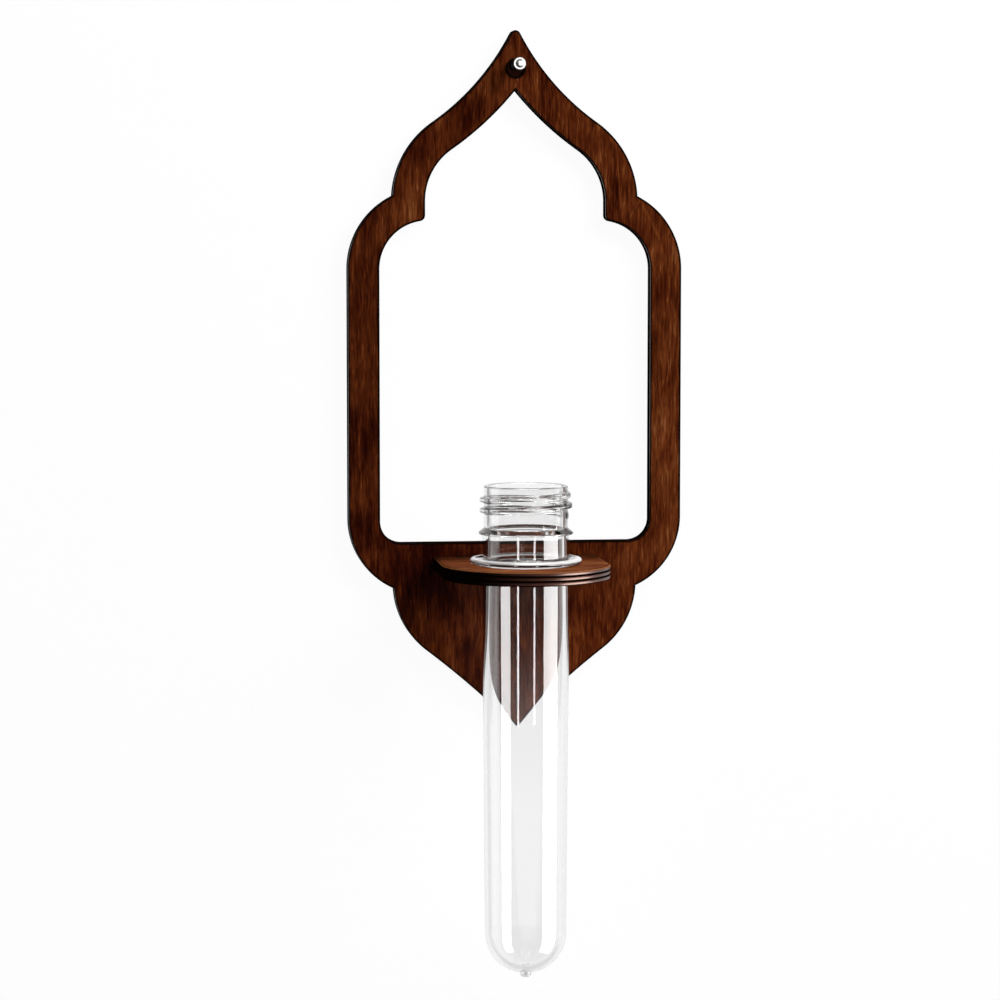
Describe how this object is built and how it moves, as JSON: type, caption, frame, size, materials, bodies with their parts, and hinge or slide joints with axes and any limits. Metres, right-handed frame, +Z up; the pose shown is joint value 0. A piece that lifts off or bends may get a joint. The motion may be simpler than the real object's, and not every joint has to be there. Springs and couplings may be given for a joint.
{
  "type": "wall hung flower tube",
  "caption": "Wall-hung bud vase: a pointed-arch plywood frame hangs on a nail and carries a round-ended shelf, and a clear tube with a screw neck hangs by its ring in the shelf.",
  "frame": {"origin": "the nail's axis where it enters the wall, so the wall is the plane Y = 0", "axes": "+X to the right seen from the front, +Y into the wall, +Z up along the tube"},
  "size_m": [0.1014, 0.0792, 0.2819],
  "materials": {
    "stained_face": "satin dark brown stain over vertical grain, scorched along the cut edges",
    "stained_core": "dark stain, cut edges scorched nearly black",
    "clear_tube": "clear, polished",
    "bright_steel": "bright drawn steel"
  },
  "bodies": {
    "nail": {"hanging_nail": "bright_steel"},
    "frame": {"frame_front_veneer": "stained_face", "frame_core_veneer": "stained_core", "frame_back_veneer": "stained_face", "shelf_top_veneer": "stained_face", "shelf_core_veneer": "stained_core", "shelf_bottom_veneer": "stained_face"},
    "tube": {"flower_tube": "clear_tube"}
  },
  "joints": [
    {"name": "frame_swing", "type": "hinge", "parent": "nail", "child": "frame", "pos_m": [0, 0, 0], "axis": [0, 1, 0], "range_deg": [-90, 90]},
    {"name": "tube_lift", "type": "slide", "parent": "frame", "child": "tube", "axis": [0, 0, 1], "range_m": [0, 0.126]}
  ]
}
